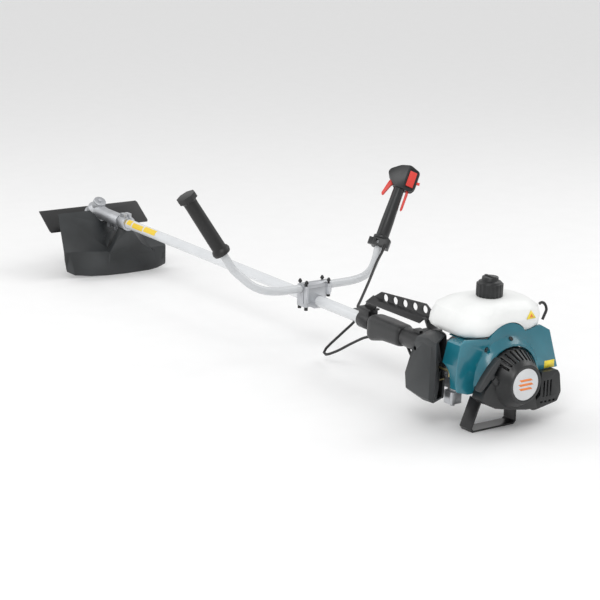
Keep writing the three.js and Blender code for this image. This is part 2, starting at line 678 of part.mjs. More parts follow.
function addHipPad() {
  const section = (x, bottom, top, half) => ({
    at: x,
    outline: roundedRectangle(-half, half, bottom, top, 14, 3),
  });
  const pad = loft("x", [
    section(386, -22, 20, 20), section(392, -24, 23, 23), section(450, -26, 24, 24),
    section(490, -36, 23, 24), section(501, -34, 20, 21),
  ]);
  const tubeRoom = turnedX(discProfile(380, 530, TUBE_RADIUS + GAP), 20);
  const cableRoom = throttleCable(CABLE_RADIUS + GAP, 8, 84);
  add(machine, "hip_pad", cut(pad, tubeRoom, cableRoom), LEATHERETTE());
}

// ---- Clutch and housing ---------------------------------------------------------------------------

function addClutch() {
  const tubeRoom = TUBE_RADIUS + GAP;
  const shell = turnedX([
    [152, 56], [152, 62], [196, 62], [206, 56], [232, 34], [262, 25], [384, 21.5], [384, tubeRoom],
    [227, tubeRoom], [227, 20], [221, 20], [221, 34], [200, 52], [158, 56],
  ]);
  const boss = join(box(284, 316, -12, 12, 14, 37.2), box(330, 352, -9, 9, 10, 27));
  const tubeCut = turnedX(discProfile(226, 400, tubeRoom));
  const cableRoom = throttleCable(CABLE_RADIUS + 1, 8, 84);
  const housing = cut(join(shell, boss), tubeCut, cableRoom);
  add(machine, "clutch_housing", housing, BLACK_PLASTIC());
  const drum = turnedX([
    [193, 30], [193, 32.5], [212, 32.5], [212, 9], [222, 9], [222, SHAFT_RADIUS + GAP],
    [209, SHAFT_RADIUS + GAP], [209, 30],
  ]);
  const drumHub = turnedX(ringProfile(213, 222, 9, SHAFT_RADIUS + GAP));
  add(machine, "clutch_drum", join(drum, drumHub), STEEL());
}

// ---- Engine ---------------------------------------------------------------------------------------

const CYLINDER_X = 102;

function addCrank() {
  const webs = join(
    turnedX(discProfile(88, 96, 24)),
    turnedX(discProfile(108, 116, 24)),
  );
  const pin = rod([95, 0, -14], [109, 0, -14], 6);
  const rear = turnedX(discProfile(36, 89, 7), 16);
  const front = turnedX(discProfile(115, 204, 7), 16);
  add(machine, "crankshaft", join(webs, pin, rear, front), STEEL());
  const wheel = turnedX([
    [156, 7.3], [156, 20], [160, 20], [160, 48], [176, 48], [176, 42], [166, 40], [166, 20],
    [172, 20], [172, 7.3],
  ]);
  const vanes = Array.from({ length: 8 }, (_, i) =>
    box(163, 175, -1.2, 1.2, 18, 45).rotateX((i * Math.PI) / 4));
  add(machine, "flywheel", join(wheel, ...vanes), CAST_ALUMINIUM());
  const shoeRing = turnedX(ringProfile(190, 205, 28.5, 15));
  const gaps = box(180, 210, -5, 5, -40, 40);
  const hub = join(turnedX(ringProfile(182, 203, 11, 7.3)), box(190, 203, -24, 24, 7.5, 11.5),
    box(190, 203, -24, 24, -11.5, -7.5));
  add(machine, "clutch_shoes", join(cut(shoeRing, gaps), hub), STEEL());
}

function addCrankcase() {
  const barrel = turnedX(discProfile(64, 148, 36));
  const deck = box(76, 128, -27, 27, 20, 42);
  const foot = prism("x", [[44, -20], [44, -55], [-40, -71], [-40, -58], [-30, -20]], 74, 101);
  const carburettorDeck = box(112, 132, 20, 40, -14, 14);
  const webRoom = turnedX(discProfile(84, 120, 26));
  const journal = turnedX(discProfile(60, 150, 8));
  const cylinderRoom = rod([CYLINDER_X, 0, 0], [CYLINDER_X, 0, 50], 20, ROUND);
  const cavityMouth = box(84, 120, -12, 12, -70, -10);
  const crankcase = cut(
    join(barrel, deck, foot, carburettorDeck), webRoom, journal, cylinderRoom, cavityMouth,
  );
  add(machine, "crankcase", crankcase, CAST_ALUMINIUM());
}

function addCylinder() {
  const fins = [];
  for (let z = 46; z < 62; z += 4) {
    fins.push([z, 24], [z, 33], [z + 1.6, 33], [z + 1.6, 24]);
  }
  const profile = [[42.3, 19.4], [42.3, 24], ...fins, [78, 24], [78, 0], [74, 0], [74, 19.4]];
  const cylinder = moved(turnedZ(profile), CYLINDER_X, 0, 0);
  const plugHole = rod([CYLINDER_X, -40, 70], [CYLINDER_X, -10, 70], 5.4);
  const plugSeat = rod([CYLINDER_X, -40, 70], [CYLINDER_X, -23, 70], 9.5);
  add(machine, "cylinder", cut(cylinder, plugHole, plugSeat), CAST_ALUMINIUM());
  const piston = turnedZ([[36, 16], [36, 18.9], [58, 18.9], [58, 0], [54, 0], [54, 16]], ROUND);
  add(machine, "piston", moved(piston, CYLINDER_X, 0, 0), CAST_ALUMINIUM());
  const plugProfile = [[-78, 0], [-78, 8], [-50, 8.6], [-38, 8.6], [-38, 6], [-23.6, 6], [-23.6, 5],
    [-12, 5], [-12, 0]];
  const plug = turnedY(plugProfile, 12);
  add(machine, "spark_plug", moved(plug, CYLINDER_X, 0, 70), RUBBER());
}

function addCarburettor() {
  const body = join(
    box(120, 149, 54, 88, -30, 22),
    rod([134, 41, 0], [134, 56, 0], 14),
    rod([136, 71, 20], [136, 71, 44], 9),
    rod([135, 71, -38], [135, 71, -28], 13),
  );
  const throat = rod([134, 40, -2], [134, 90, -2], 9);
  const cableRoom = throttleCable(CABLE_RADIUS + GAP, 8, 84);
  add(machine, "carburettor", cut(body, throat, cableRoom), CAST_ALUMINIUM());
  const bowl = cut(
    join(
      prism("z", [[122, 56], [150, 56], [150, 88], [122, 88]], -64, -38.3, 9),
      rod([136, 72, -71], [136, 72, -63], 5),
    ),
    box(127, 145, 61, 83, -59, -30),
  );
  add(machine, "float_bowl", bowl, CAST_ALUMINIUM());
}

// ---- Air filter -----------------------------------------------------------------------------------

// Outline of the air filter cover seen from the left, [height, x], for its inner edge and outer face.
const FILTER_EDGE = [
  [-54, 141], [-54, 165], [-50, 208], [-12, 216], [80, 186], [84, 160], [80, 141], [20, 139],
];
const FILTER_FACE = [
  [-50, 117], [-52, 150], [-44, 202], [-10, 209], [74, 178], [79, 145], [75, 116], [20, 113],
];

function shrunk(outline, inset) {
  const middle = outline.reduce(([a, b], [c, d]) => [a + c / outline.length, b + d / outline.length],
    [0, 0]);
  return outline.map(([a, b]) => {
    const reach = Math.hypot(a - middle[0], b - middle[1]);
    const share = (reach - inset) / reach;
    return [middle[0] + (a - middle[0]) * share, middle[1] + (b - middle[1]) * share];
  });
}

function addAirFilter() {
  const outer = loft("y", [
    { at: 98, outline: FILTER_EDGE },
    { at: 138, outline: FILTER_FACE },
    { at: 147, outline: shrunk(FILTER_FACE, 9) },
  ]);
  const inner = loft("y", [
    { at: 90, outline: shrunk(FILTER_EDGE, 3.5) },
    { at: 136, outline: shrunk(FILTER_FACE, 4.5) },
    { at: 143, outline: shrunk(FILTER_FACE, 11) },
  ]);
  const chokeSlot = box(100, 135, 112, 122, 10, 30);
  const latchHole = rod([172, 130, 52], [172, 160, 52], 4.5, 12);
  add(machine, "air_filter_cover", cut(outer, inner, chokeSlot, latchHole), GREY_PLASTIC());
  const base = cut(
    prism("y", shrunk(FILTER_EDGE, -1), 92, 97.6, 6),
    rod([134, 80, -2], [134, 120, -2], 9),
    rod([172, 80, 52], [172, 120, 52], 2.5, 10),
  );
  add(machine, "air_filter_base", base, BLACK_PLASTIC());
  const element = prism("y", [[-30, 152], [-30, 192], [40, 180], [40, 152]], 99, 120, 8);
  add(machine, "air_filter_element", element, FOAM());
  const choke = join(
    box(96, 134, 115, 118.5, 18, 21),
    box(95, 98.5, 115, 118.5, 8, 21),
    box(134, 137, 115, 118.5, -12, 21),
    rod([135.5, 97.9, -10], [135.5, 116, -10], 1.6, 8),
  );
  add(machine, "choke_lever", choke, ZINC());
}

// ---- Engine cover, tank, exhaust ------------------------------------------------------------------

const HUMP_RADIUS = 55;
const HUMP_Z = 57; // centre of the hump at the top of the cover
const COVER_FACE = 60; // rear face of the cover
const COVER_FRONT = 140;
const COVER_LIP = [
  [98, -22], [124, -14], [128, 4], [127, 38], [118, 84], [110, 91],
  ...arcPoints(0, HUMP_Z, HUMP_RADIUS, 30, 145, 12), [-86, 96], [-111, 82], [-138, 0], [-66, 0],
  [-66, -22],
];
const COVER_BODY = [
  [98, -20], [122, -12], [126, 4], [125, 38], [115, 78], [106, 82], [-104, 82], [-111, 76],
  [-136, 2], [-66, 2], [-66, -20],
];

// Outline of the starter's lower body, seen from behind.
const STARTER_SKIRT = [
  [-52, -40], [-58, -66], [-28, -65], [10, -58.5], [54, -49], [74, -39], [88, -28], [82, -8], [54, 20],
  [46, 10], [30, -30],
];

function addEngineCover() {
  const lip = prism("x", COVER_LIP, COVER_FACE, COVER_FACE + 6);
  const body = prism("x", COVER_BODY, COVER_FACE + 5, COVER_FRONT);
  const collar = turnedX([[44, 68], [44, 72], [50, 76], [61, 86], [61, 68]]);
  const room = prism("x", shrunk(COVER_BODY, 4.5), COVER_FACE + 4, COVER_FRONT + 10);
  const cover = cut(
    join(lip, body, collar),
    room,
    turnedX(discProfile(40, 70, 67.5)), // the starter
    box(30, 80, -90, 98, -100, -22),
    box(30, 150, -100, -58, -100, 0),
    prism("x", shrunk(STARTER_SKIRT, -1.5), 20, COVER_FACE - 0.5),
    rod([116, 90, 4], [116, 150, 4], 33, 20), // the carburettor's notch
    rod([50, 55, 64], [70, 55, 64], 6, 16),
    box(64, 145, -60, 92, -40, -12),
    box(110, 150, 86, 140, -70, 100), // the air filter
  );
  add(machine, "engine_cover", cover, TEAL_PLASTIC());
}

const TANK_LEVELS = [
  // height, rear, front, right, left, corner radius
  [84.5, 76, 205, -88, 88, 34],
  [90, 64, 215, -99, 95, 40],
  [98, 60, 220, -104, 98, 42],
  [114, 57, 219, -105, 97, 44],
  [133, 60, 211, -101, 93, 46],
  [146, 70, 196, -86, 78, 48],
  [153, 88, 172, -58, 54, 38],
];
const CAP_X = 124;
const TANK_WALL = 3;

function addTank() {
  const level = ([z, rear, front, right, left, corner], inset) => ({
    at: z,
    outline: roundedRectangle(rear + inset, front - inset, right + inset, left - inset, corner - inset, 3),
  });
  const skin = loft("z", TANK_LEVELS.map((row) => level(row, 0)));
  const room = loft("z", TANK_LEVELS.map((row, i) => {
    const lift = i === 0 ? TANK_WALL : 0;
    const drop = i === TANK_LEVELS.length - 1 ? TANK_WALL : 0;
    return level([row[0] + lift - drop, ...row.slice(1)], TANK_WALL);
  }));
  const neck = moved(turnedZ(discProfile(145, 163, 19)), CAP_X, 0, 0);
  const mouth = moved(turnedZ(discProfile(140, 170, 16)), CAP_X, 0, 0);
  const lipRoom = prism("x", shrunk(COVER_LIP, -1.5), 30, COVER_FACE + 6.6);
  const tank = cut(join(skin, neck), room, mouth, lipRoom, ventHose(3.6));
  add(machine, "fuel_tank", tank, TANK_PLASTIC());
  addFuelCap();
  add(machine, "tank_vent_hose", ventHose(3), RUBBER());
}

function ventHose(radius) {
  const route = [[82, -98, 133], [81, -103, 136], [80, -111, 132], [79, -116, 120], [80, -112, 108],
    [80, -107.5, 99]];
  return sweep(route, radius, 8, 14);
}

function addFuelCap() {
  const ribs = 20;
  const ribbed = Array.from({ length: ribs * 2 }, (_, i) => {
    const radius = i % 2 === 0 ? 27.5 : 26;
    const angle = (Math.PI * i) / ribs;
    return [radius * Math.cos(angle), radius * Math.sin(angle)];
  });
  const skirt = prism("z", ribbed, 154, 180);
  const crown = turnedZ([[179, 0], [179, 26], [184, 23], [186, 17.5], [193, 16.5], [193, 0]]);
  const grips = box(-15, 15, -3, 3, 186, 195);
  const neckRoom = turnedZ([[150, 0], [150, 19.6], [164, 19.6], [164, 0]]);
  const cap = cut(join(skirt, crown, grips), neckRoom);
  add(machine, "fuel_cap", moved(cap, CAP_X, 0, 0), BLACK_PLASTIC());
}

function addExhaust() {
  const outline = [
    [-84, -0.8], [-127, -0.8], [-134, -10], [-140, -50], [-131, -69], [-73, -79], [-62, -78],
    [-62, -66], [-84, -50],
  ];
  const skin = prism("x", outline, 46, 146, 4);
  const room = prism("x", shrunk(outline, 5), 50, 150);
  const sideOpening = box(66, 150, -88, -56, -90, 2);
  const slots = [-93, -102, -111].map((y) => box(40, 52, y - 2.2, y + 2.2, -54, -20));
  const vents = Array.from({ length: 4 }, (_, i) => box(40, 56, -91 - i * 11, -85 - i * 11, -67, -63));
  add(machine, "muffler_cover", cut(skin, room, sideOpening, ...slots, ...vents), BLACK_PLASTIC());
  const muffler = join(
    prism("x", [[-92, -8], [-126, -8], [-130, -46], [-94, -54]], 68, 134, 5),
    box(92, 112, -96, -46, -30, -12),
    box(92, 112, -58, -36, -30, 57),
  );
  const gasWay = join(box(96, 108, -54, -30, 42, 53), box(96, 108, -54, -50, -26, 50));
  const outlet = rod([120, -113, -30], [140, -113, -30], 6, 12);
  add(machine, "muffler", cut(muffler, gasWay, outlet), STEEL());
}

// ---- Starter --------------------------------------------------------------------------------------

const STARTER_SLOTS = 10;

function addStarter() {
  const dome = turnedX([
    [1, 0], [1, 33.5], [-0.5, 35], [-0.5, 40], [5, 43], [16, 50], [38, 62], [52, 66], [59, 66],
    [59, 62], [44, 59], [19, 46.5], [9, 40], [5, 36], [5, 0],
  ], 28);
  const skirt = prism("x", STARTER_SKIRT, 26, 59);
  const skirtRoom = prism("x", shrunk(STARTER_SKIRT, 6), 30, 62);
  const inside = turnedX([[5, 0], [5, 36], [9, 40], [19, 46.5], [44, 59], [60, 62], [60, 0]], 28);
  const along = (distance) => [
    ROPE_X,
    ROPE_OFFSET * Math.sin(PULL_ANGLE) + distance * Math.cos(PULL_ANGLE),
    distance * Math.sin(PULL_ANGLE) - ROPE_OFFSET * Math.cos(PULL_ANGLE),
  ];
  const guide = rod(along(42), along(60), 8.5);
  const ropeHole = rod(along(30), along(80), 2.8, 10);
  const slots = Array.from({ length: STARTER_SLOTS }, (_, i) => {
    const slot = box(12, 40, -2.6, 2.6, 35, 80);
    return slot.rotateX(THREE.MathUtils.degToRad(-48 + i * 12));
  });
  const shell = cut(join(dome, skirt, guide), inside, skirtRoom, ropeHole, ...slots);
  const post = turnedX(discProfile(4, 36, 6), 14);
  add(machine, "starter_housing", join(shell, post), BLACK_PLASTIC());
  const pulley = turnedX([
    [21, 6.5], [21, 32], [24, 32], [25.5, PULLEY_GROOVE], [30.5, PULLEY_GROOVE], [32, 32],
    [35, 32], [35, 6.5],
  ]);
  add(machine, "starter_pulley", pulley, BLACK_PLASTIC());
}

function addStarterHandle() {
  const start = 61;
  const outline = [
    [-5, start], [5, start], [6, start + 5], [22, start + 6], [38, start + 9], [40, start + 14],
    [36, start + 18], [12, start + 21], [-12, start + 21], [-36, start + 18], [-40, start + 14],
    [-38, start + 9], [-22, start + 6], [-6, start + 5],
  ];
  const handle = prism("z", outline, ROPE_X - 8, ROPE_X + 8);
  handle.translate(ROPE_OFFSET, 0, 0);
  add(pull, "starter_handle", handle, GREY_PLASTIC());
  const rope = rod([ROPE_OFFSET, 0, ROPE_X], [ROPE_OFFSET, start - GAP, ROPE_X], ROPE_RADIUS, 8);
  add(pull, "starter_rope", rope, FOAM());
}

// ---- Stand ----------------------------------------------------------------------------------------

function addStand() {
  const sole = [
    [52, 66], [57, 54], [77, 8], [71, 0], [-37, 0], [-44, 6], [-44, 38],
  ];
  const strip = prism("x", stripOutline([...sole].reverse(), 4), -STAND_WIDTH / 2, STAND_WIDTH / 2);
  add(standGroup, "engine_stand", strip, BLACK_PAINT());
}

// ---- Assembly -------------------------------------------------------------------------------------

addShaft();
addGears();
addGearCase();
addBlade();
addGuard();
addGuardBracket();
addHandlebar();
addHandlebarClamp();
addLeftGrip();
addControlGrip();
addControls();
addCableAndClip();
addHanger();
addHipPad();
addClutch();
addCrank();
addCrankcase();
addCylinder();
addCarburettor();
addAirFilter();
addEngineCover();
addTank();
addExhaust();
addStarter();
addStarterHandle();
addStand();

export default brushCutter;
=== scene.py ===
"""Looks of the brush cutter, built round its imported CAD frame. Metres, X forward, Y left, Z up."""
import json
import math

import bmesh
import bpy
from mathutils import Matrix, Quaternion, Vector


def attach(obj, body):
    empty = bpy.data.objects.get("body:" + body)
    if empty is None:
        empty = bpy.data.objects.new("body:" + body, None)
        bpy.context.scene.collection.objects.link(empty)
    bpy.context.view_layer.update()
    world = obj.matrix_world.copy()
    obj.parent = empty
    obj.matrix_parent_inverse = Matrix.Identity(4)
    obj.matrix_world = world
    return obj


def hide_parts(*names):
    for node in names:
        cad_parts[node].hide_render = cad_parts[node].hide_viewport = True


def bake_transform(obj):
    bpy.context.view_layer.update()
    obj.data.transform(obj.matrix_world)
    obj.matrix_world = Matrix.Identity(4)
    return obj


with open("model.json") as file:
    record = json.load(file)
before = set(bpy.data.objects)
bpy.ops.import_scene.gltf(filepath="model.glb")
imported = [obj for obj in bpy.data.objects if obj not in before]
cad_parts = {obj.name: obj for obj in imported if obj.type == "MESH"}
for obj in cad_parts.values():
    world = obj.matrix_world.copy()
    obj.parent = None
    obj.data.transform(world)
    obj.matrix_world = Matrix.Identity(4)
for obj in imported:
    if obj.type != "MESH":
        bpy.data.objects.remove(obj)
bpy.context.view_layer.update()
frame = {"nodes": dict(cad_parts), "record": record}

MM = 0.001
JOINTS = {joint["name"]: joint for joint in frame["record"]["behaviour"]["joints"]}
SLOT_OF = {part["node"]: part["material_slot"] for part in frame["record"]["subparts"]}
BODY_OF = {
    node: body
    for body, nodes in frame["record"]["behaviour"]["bodies"].items()
    for node in nodes
}

# The machine's own frame: X along the drive shaft, origin where the starter's face meets the crank axis.
SHAFT_POINT = 1000 * MM  # how far along the shaft the drive joint's point lies
forward = Vector(JOINTS["drive_spin"]["axis"])
upward = Vector((-forward.z, 0, forward.x))
machine_origin = Vector(JOINTS["drive_spin"]["pos_m"]) - forward * SHAFT_POINT
MACHINE = Matrix.Translation(machine_origin) @ Matrix(
    (
        (forward.x, 0, upward.x, 0),
        (forward.y, 1, upward.y, 0),
        (forward.z, 0, upward.z, 0),
        (0, 0, 0, 1),
    )
)

TUBE_RADIUS = 13
BADGE_RADIUS = 32.8


# ---- Camera ----

# Millimetres of the machine's frame: behind the engine, to its left and above.
CAMERA_PLACE = Vector((-2514, 2311, 1092))
CAMERA_AIM = Vector((-65, 597, 270))
CAMERA_ROLL = math.radians(1.57)
CAMERA_LENS = 107.6
SENSOR_WIDTH = 36
CLIP_END = 50  # metres


def add_camera():
    sight = CAMERA_AIM - CAMERA_PLACE
    turn = sight.to_track_quat("-Z", "Y") @ Quaternion((0, 0, 1), CAMERA_ROLL)
    camera = bpy.data.objects.new("camera", bpy.data.cameras.new("camera"))
    camera.data.sensor_width = SENSOR_WIDTH
    camera.data.lens = CAMERA_LENS
    camera.data.clip_end = CLIP_END
    camera.matrix_world = MACHINE @ Matrix.LocRotScale(CAMERA_PLACE * MM, turn, None)
    bpy.context.collection.objects.link(camera)
    bpy.context.scene.camera = camera


# ---- Materials ----

COAT_ROUGHNESS = 0.12
PATCH_SCALE = 14
PATCH_DETAIL = 6
DARK_BELOW = 0.35  # of the patches' strength
LIGHT_ABOVE = 0.65
WEAR_STARTS = 0.53  # how sharp an edge is: 0.5 is flat
WEAR_FULL = 0.62
WEAR_SHARE = 0.35
WORN_GAIN = 1.5
WORN_LIFT = 0.05
GLOSSIEST = 0.8  # as shares of a finish's roughness
DULLEST = 1.25
RELIEF_DEPTH = 0.0005  # metres


def add_node(nodes, kind, settings):
    """A shader node with some of its inputs set."""
    node = nodes.new(kind)
    set_inputs(node, settings)
    return node


def set_inputs(node, settings):
    for socket, value in settings.items():
        node.inputs[socket].default_value = value


def surface(
    name, dark, light, rough, metal=0.0, grain=900, bump=0.06, coat=0.0, sheen=0.0, stretch=(1, 1, 1)
):
    """A finish whose colour, roughness and relief vary with position: dark and light are its two tones."""
    material = bpy.data.materials.new(name)
    material.use_nodes = True
    nodes = material.node_tree.nodes
    links = material.node_tree.links
    shader = nodes["Principled BSDF"]
    set_inputs(shader, {
        "Metallic": metal, "Coat Weight": coat, "Coat Roughness": COAT_ROUGHNESS, "Sheen Weight": sheen,
    })
    place = nodes.new("ShaderNodeTexCoord")
    fitted = add_node(nodes, "ShaderNodeMapping", {"Scale": stretch})
    links.new(place.outputs["Object"], fitted.inputs["Vector"])

    patches = add_node(nodes, "ShaderNodeTexNoise", {"Scale": PATCH_SCALE, "Detail": PATCH_DETAIL})
    links.new(fitted.outputs["Vector"], patches.inputs["Vector"])
    tone = nodes.new("ShaderNodeValToRGB")
    low_stop, high_stop = tone.color_ramp.elements
    low_stop.position = DARK_BELOW
    high_stop.position = LIGHT_ABOVE
    low_stop.color = (*dark, 1)
    high_stop.color = (*light, 1)
    links.new(patches.outputs["Fac"], tone.inputs["Fac"])

    wear = nodes.new("ShaderNodeNewGeometry")
    edge = add_node(
        nodes, "ShaderNodeMapRange", {"From Min": WEAR_STARTS, "From Max": WEAR_FULL, "To Max": WEAR_SHARE}
    )
    links.new(wear.outputs["Pointiness"], edge.inputs["Value"])
    worn = nodes.new("ShaderNodeMix")
    worn.data_type = "RGBA"
    worn_tone = [min(1, channel * WORN_GAIN + WORN_LIFT) for channel in light]
    worn.inputs["B"].default_value = (*worn_tone, 1)
    links.new(edge.outputs["Result"], worn.inputs["Factor"])
    links.new(tone.outputs["Color"], worn.inputs["A"])
    links.new(worn.outputs["Result"], shader.inputs["Base Color"])

    gloss = add_node(
        nodes, "ShaderNodeMapRange", {"To Min": rough * GLOSSIEST, "To Max": min(1, rough * DULLEST)}
    )
    links.new(patches.outputs["Fac"], gloss.inputs["Value"])
    links.new(gloss.outputs["Result"], shader.inputs["Roughness"])

    fine = add_node(nodes, "ShaderNodeTexNoise", {"Scale": grain})
    links.new(fitted.outputs["Vector"], fine.inputs["Vector"])
    relief = add_node(nodes, "ShaderNodeBump", {"Strength": bump, "Distance": RELIEF_DEPTH})
    links.new(fine.outputs["Fac"], relief.inputs["Height"])
    links.new(relief.outputs["Normal"], shader.inputs["Normal"])
    return material


# For each slot of the CAD: dark tone, light tone, roughness, and what else surface() takes.
SLOT_LOOKS = {
    "white_paint": ((0.54, 0.555, 0.57), (0.6, 0.615, 0.63), 0.22, {"coat": 0.5, "bump": 0.02}),
    "black_paint": ((0.004, 0.004, 0.0045), (0.009, 0.009, 0.01), 0.32, {"bump": 0.05}),
    "teal_plastic": ((0.006, 0.125, 0.17), (0.009, 0.16, 0.215), 0.22, {"coat": 0.4, "bump": 0.02}),
    "black_plastic": ((0.006, 0.0065, 0.007), (0.012, 0.013, 0.014), 0.36, {"bump": 0.2}),
    "grey_plastic": ((0.013, 0.015, 0.016), (0.021, 0.024, 0.026), 0.42, {"bump": 0.2}),
    "red_plastic": ((0.6, 0.03, 0.02), (0.72, 0.045, 0.03), 0.35, {"bump": 0.04}),
    "tank_plastic": ((0.8, 0.81, 0.8), (0.88, 0.89, 0.88), 0.36, {"bump": 0.08}),
    "cast_aluminium": ((0.42, 0.43, 0.45), (0.56, 0.57, 0.59), 0.42, {"metal": 0.9, "bump": 0.35}),
    "steel": ((0.36, 0.37, 0.38), (0.5, 0.51, 0.52), 0.3, {"metal": 1, "bump": 0.1, "stretch": (0.1, 1, 1)}),
    "zinc": ((0.5, 0.4, 0.18), (0.66, 0.56, 0.3), 0.32, {"metal": 0.9, "bump": 0.06}),
    "foam": ((0.02, 0.02, 0.02), (0.035, 0.035, 0.035), 0.95, {"grain": 500, "bump": 0.9}),
    "rope": ((0.02, 0.02, 0.02), (0.04, 0.04, 0.04), 0.8, {"grain": 700, "bump": 0.8, "sheen": 0.3}),
    "leatherette": (
        (0.006, 0.0065, 0.007), (0.013, 0.014, 0.015), 0.45, {"grain": 420, "bump": 0.6, "sheen": 0.2},
    ),
    "rubber": ((0.005, 0.005, 0.005), (0.01, 0.01, 0.0105), 0.45, {"grain": 600, "bump": 0.3}),
}
FINISHES = {
    slot: surface(slot, dark, light, rough, **rest)
    for slot, (dark, light, rough, rest) in SLOT_LOOKS.items()
}
YELLOW = surface("yellow_film", (0.82, 0.55, 0.02), (0.88, 0.62, 0.04), 0.35, bump=0.03)
ORANGE = surface("orange_film", (0.75, 0.16, 0.02), (0.82, 0.2, 0.03), 0.35, bump=0.03)
BADGE_GREY = surface("badge_grey", (0.6, 0.61, 0.62), (0.68, 0.69, 0.7), 0.3, metal=0.1, bump=0.04)


# ---- Pieces ----

WELD_WITHIN = 2e-6  # metres
FLAT_WITHIN = math.radians(1)
ROUND_ABOVE = math.radians(32)
CRISP_ABOVE = math.radians(48)
EDGE_SEGMENTS = 2


def piece(name, mesh, material, body="machine"):
    made = bpy.data.objects.new(name, mesh)
    bpy.context.collection.objects.link(made)
    mesh.materials.clear()
    mesh.materials.append(material)
    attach(made, body)
    return made


def mesh_again(node, flatten=False):
    """A node's mesh with its corners welded, smooth shading and, if asked, its flat faces joined."""
    shape = bmesh.new()
    shape.from_mesh(frame["nodes"][node].data)
    bmesh.ops.remove_doubles(shape, verts=shape.verts, dist=WELD_WITHIN)
    if flatten:
        bmesh.ops.dissolve_limit(shape, angle_limit=FLAT_WITHIN, verts=shape.verts, edges=shape.edges)
    mesh = bpy.data.meshes.new(node + "_look")
    shape.to_mesh(mesh)
    shape.free()
    mesh.shade_smooth()
    return mesh


def stand_in(node, mesh):
    """A piece shown in a node's place, with its finish and on its body."""
    made = piece(node + "_look", mesh, FINISHES[SLOT_OF[node]], BODY_OF[node])
    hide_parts(node)
    return made


def dressed(node, edge):
    """A node again with its edges rounded by edge millimetres."""
    made = stand_in(node, mesh_again(node, flatten=True))
    rounding = made.modifiers.new("rounding", "BEVEL")
    rounding.width = edge * MM
    rounding.segments = EDGE_SEGMENTS
    rounding.limit_method = "ANGLE"
    rounding.angle_limit = ROUND_ABOVE
    rounding.harden_normals = True


def smoothed(node):
    """A round node again with smooth sides and crisp ends."""
    mesh = mesh_again(node)
    mesh.set_sharp_from_angle(angle=CRISP_ABOVE)
    stand_in(node, mesh)


def mesh_from(name, build, *details):
    """A mesh in millimetres of the machine's frame, made by build(bmesh, *details)."""
    shape = bmesh.new()
    build(shape, *details)
    shape.transform(MACHINE @ Matrix.Scale(MM, 4))
    bmesh.ops.recalc_face_normals(shape, faces=shape.faces)
    mesh = bpy.data.meshes.new(name)
    shape.to_mesh(mesh)
    shape.free()
    mesh.shade_smooth()
    return mesh


def bridge(shape, low, high):
    """Joins two rings of corners with a band of faces."""
    for i in range(len(low)):
        j = (i + 1) % len(low)
        shape.faces.new((low[i], low[j], high[j], high[i]))


def skin(shape, rings, closed=False):
    """Covers a row of rings. A closed row meets itself, and an open one gets end caps."""
    following = rings[1:] + rings[:1] if closed else rings[1:]
    for low, high in zip(rings, following):
        bridge(shape, low, high)
    if not closed:
        shape.faces.new(rings[0])
        shape.faces.new(rings[-1])


def slab(shape, front, back):
    """A thin plate between two outlines with the same number of corners."""
    front_ring = [shape.verts.new(corner) for corner in front]
    back_ring = [shape.verts.new(corner) for corner in back]
    shape.faces.new(front_ring)
    shape.faces.new(back_ring)
    bridge(shape, front_ring, back_ring)


def turned(shape, profile, centre, axis, sides, closed=False):
    """Spins a list of (along, radius) round an axis through centre."""
    turn = Vector(axis).to_track_quat("Z", "Y").to_matrix()
    rings = []
    for along, radius in profile:
        ring = []
        for i in range(sides):
            angle = 2 * math.pi * i / sides
            local = Vector((radius * math.cos(angle), radius * math.sin(angle), along))
            ring.append(shape.verts.new(Vector(centre) + turn @ local))
        rings.append(ring)
    skin(shape, rings, closed)


SCREW_SIDES = 18


def screw(name, centre, axis, radius):
    """A pan head with a driver recess, its face along axis."""
    profile = [
        (-1, radius), (0.6, radius), (1.4, radius * 0.9), (1.8, radius * 0.7),
        (1.8, radius * 0.45), (0.6, radius * 0.4),
    ]
    mesh = mesh_from(name, turned, profile, centre, axis, SCREW_SIDES)
    piece(name, mesh, FINISHES["black_paint"])


# ---- Starter badge ----

# The badge lies round the crank axis, its face towards the rear. Millimetres.
CRANK_PLACE = (0, 0, 0)
CRANK_AXIS = (1, 0, 0)
BADGE_SIDES = 64
BADGE_PROFILE = [(0.9, BADGE_RADIUS), (0.1, BADGE_RADIUS), (-0.3, BADGE_RADIUS - 1), (-0.3, 0.5)]
RIM_PROFILE = [(0.9, 34), (-0.5, 34.6), (-0.5, 38.6), (0.6, 40), (0.9, 40)]
STRIPE_HEIGHTS = (-9, 0, 9)
STRIPE_HALF_HEIGHT = 2.4
STRIPE_SLANT = 6
STRIPE_TAPER = 1.6  # the outer stripes are as short as if they lay this much further out
STRIPE_REACH = 0.62  # of the badge's half width there
STRIPE_FRONT = -0.42
STRIPE_BACK = -0.25


def stripes(shape):
    for height in STRIPE_HEIGHTS:
        half = math.sqrt(BADGE_RADIUS ** 2 - (height * STRIPE_TAPER) ** 2) * STRIPE_REACH
        low = height - STRIPE_HALF_HEIGHT
        high = height + STRIPE_HALF_HEIGHT
        corners = [(-half, low), (half - STRIPE_SLANT, low), (half, high), (STRIPE_SLANT - half, high)]
        front = [(STRIPE_FRONT, y, z) for y, z in corners]
        back = [(STRIPE_BACK, y, z) for y, z in corners]
        slab(shape, front, back)


def add_badge():
    """A plain disc with three slanted stripes, in a dark rim."""
    disc = mesh_from("starter_badge", turned, BADGE_PROFILE, CRANK_PLACE, CRANK_AXIS, BADGE_SIDES)
    piece("starter_badge", disc, BADGE_GREY)
    piece("starter_badge_stripes", mesh_from("stripes", stripes), ORANGE)
    rim = mesh_from("rim", turned, RIM_PROFILE, CRANK_PLACE, CRANK_AXIS, BADGE_SIDES, True)
    piece("starter_badge_rim", rim, FINISHES["black_plastic"])


# ---- Stickers and labels ----

